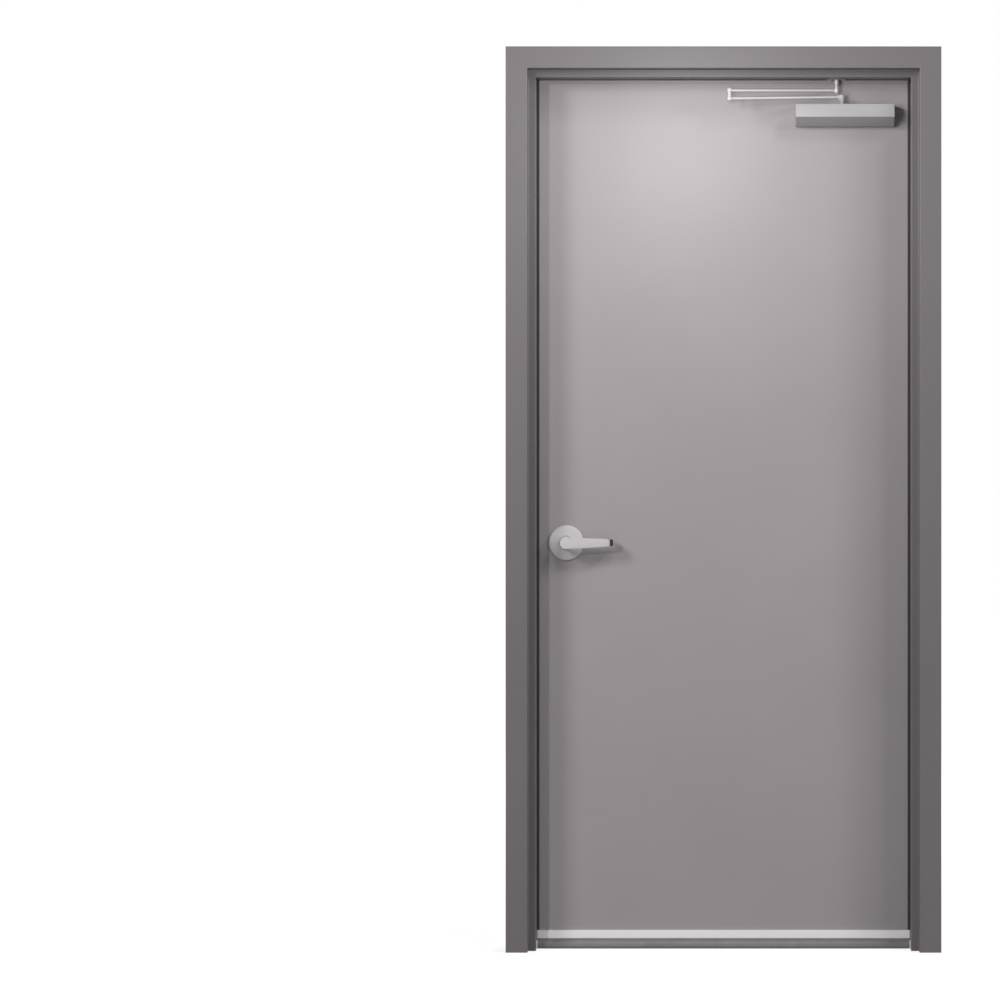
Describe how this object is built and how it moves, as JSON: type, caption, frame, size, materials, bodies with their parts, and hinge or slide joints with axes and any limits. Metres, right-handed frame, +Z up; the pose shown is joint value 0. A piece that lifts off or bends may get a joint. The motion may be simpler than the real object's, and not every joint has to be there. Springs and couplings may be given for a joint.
{
  "type": "commercial steel door in its pressed steel frame",
  "caption": "Flush hollow-metal swing door in a welded steel frame, with lever set, surface closer, butt hinges, stop seals and a door sweep.",
  "frame": {"origin": "middle of the underside of the floor anchor's foot in the hinge-side jamb, at floor level", "axes": "+X along the wall from the strike side to the hinge side, +Y through the wall from the push side to the pull side, +Z up"},
  "size_m": [1.016, 0.1966, 2.1128],
  "materials": {
    "frame_paint": "satin warm grey paint",
    "leaf_paint": "satin warm grey paint",
    "core_board": "kraft paper honeycomb",
    "plated_steel": "zinc plated",
    "hinge_steel": "satin",
    "seal_rubber": "matte black",
    "sweep_aluminium": "mill",
    "sweep_vinyl": "grey vinyl",
    "lever_metal": "satin chrome",
    "lever_tail_black": "satin black",
    "closer_paint": "satin grey paint on a die casting",
    "arm_paint": "satin grey paint"
  },
  "bodies": {
    "frame": {"hinge_jamb": "frame_paint", "strike_jamb": "frame_paint", "head": "frame_paint", "hinge_floor_anchor": "plated_steel", "strike_floor_anchor": "plated_steel", "jamb_hinge_plates": "plated_steel", "strike_plate": "lever_metal", "strike_box": "plated_steel", "hinge_side_seal": "seal_rubber", "strike_side_seal": "seal_rubber", "head_seal": "seal_rubber", "closer_bracket": "arm_paint", "top_hinge_frame_half": "hinge_steel", "middle_hinge_frame_half": "hinge_steel", "bottom_hinge_frame_half": "hinge_steel", "top_hinge_pin": "hinge_steel", "middle_hinge_pin": "hinge_steel", "bottom_hinge_pin": "hinge_steel"},
    "leaf": {"push_skin": "leaf_paint", "pull_skin": "leaf_paint", "honeycomb_core": "core_board", "top_channel": "plated_steel", "bottom_channel": "plated_steel", "leaf_hinge_plates": "plated_steel", "push_rose": "lever_metal", "pull_rose": "lever_metal", "lock_case": "plated_steel", "latch_face": "lever_metal", "latch_bolt": "lever_metal", "sweep_retainer": "sweep_aluminium", "sweep_bulb": "sweep_vinyl", "closer_plate": "plated_steel", "closer_body": "closer_paint", "top_hinge_leaf_half": "hinge_steel", "middle_hinge_leaf_half": "hinge_steel", "bottom_hinge_leaf_half": "hinge_steel"},
    "lever": {"push_lever": "lever_metal", "pull_lever": "lever_metal", "push_lever_tail": "lever_tail_black", "pull_lever_tail": "lever_tail_black", "spindle": "plated_steel"},
    "closer_arm": {"pinion": "plated_steel", "main_arm": "arm_paint"},
    "closer_forearm": {"forearm": "arm_paint"}
  },
  "joints": [
    {"name": "leaf_swing", "type": "hinge", "parent": "frame", "child": "leaf", "pos_m": [-0.014, 0.09678, 1.03], "axis": [0, 0, -1], "range_deg": [0, 90], "stiffness_Nm_per_rad": 5, "springref_deg": -114.59},
    {"name": "lever_turn", "type": "hinge", "parent": "leaf", "child": "lever", "pos_m": [-0.8385, 0.05556, 0.9546], "axis": [0, 1, 0], "range_deg": [0, 45], "stiffness_Nm_per_rad": 1, "springref_deg": -28.65},
    {"name": "main_arm_swing", "type": "hinge", "parent": "leaf", "child": "closer_arm", "pos_m": [-0.191, 0.00834, 1.9979], "axis": [0, 0, 1], "range_deg": [0, 97]},
    {"name": "forearm_swing", "type": "hinge", "parent": "frame", "child": "closer_forearm", "pos_m": [-0.2037, 0.00933, 2.0168], "axis": [0, 0, -1], "range_deg": [0, 60]}
  ],
  "couplings": [
    {"joint": "main_arm_swing", "follows": "leaf_swing", "ratio": 1.075},
    {"joint": "forearm_swing", "follows": "leaf_swing", "ratio": 0.665}
  ]
}
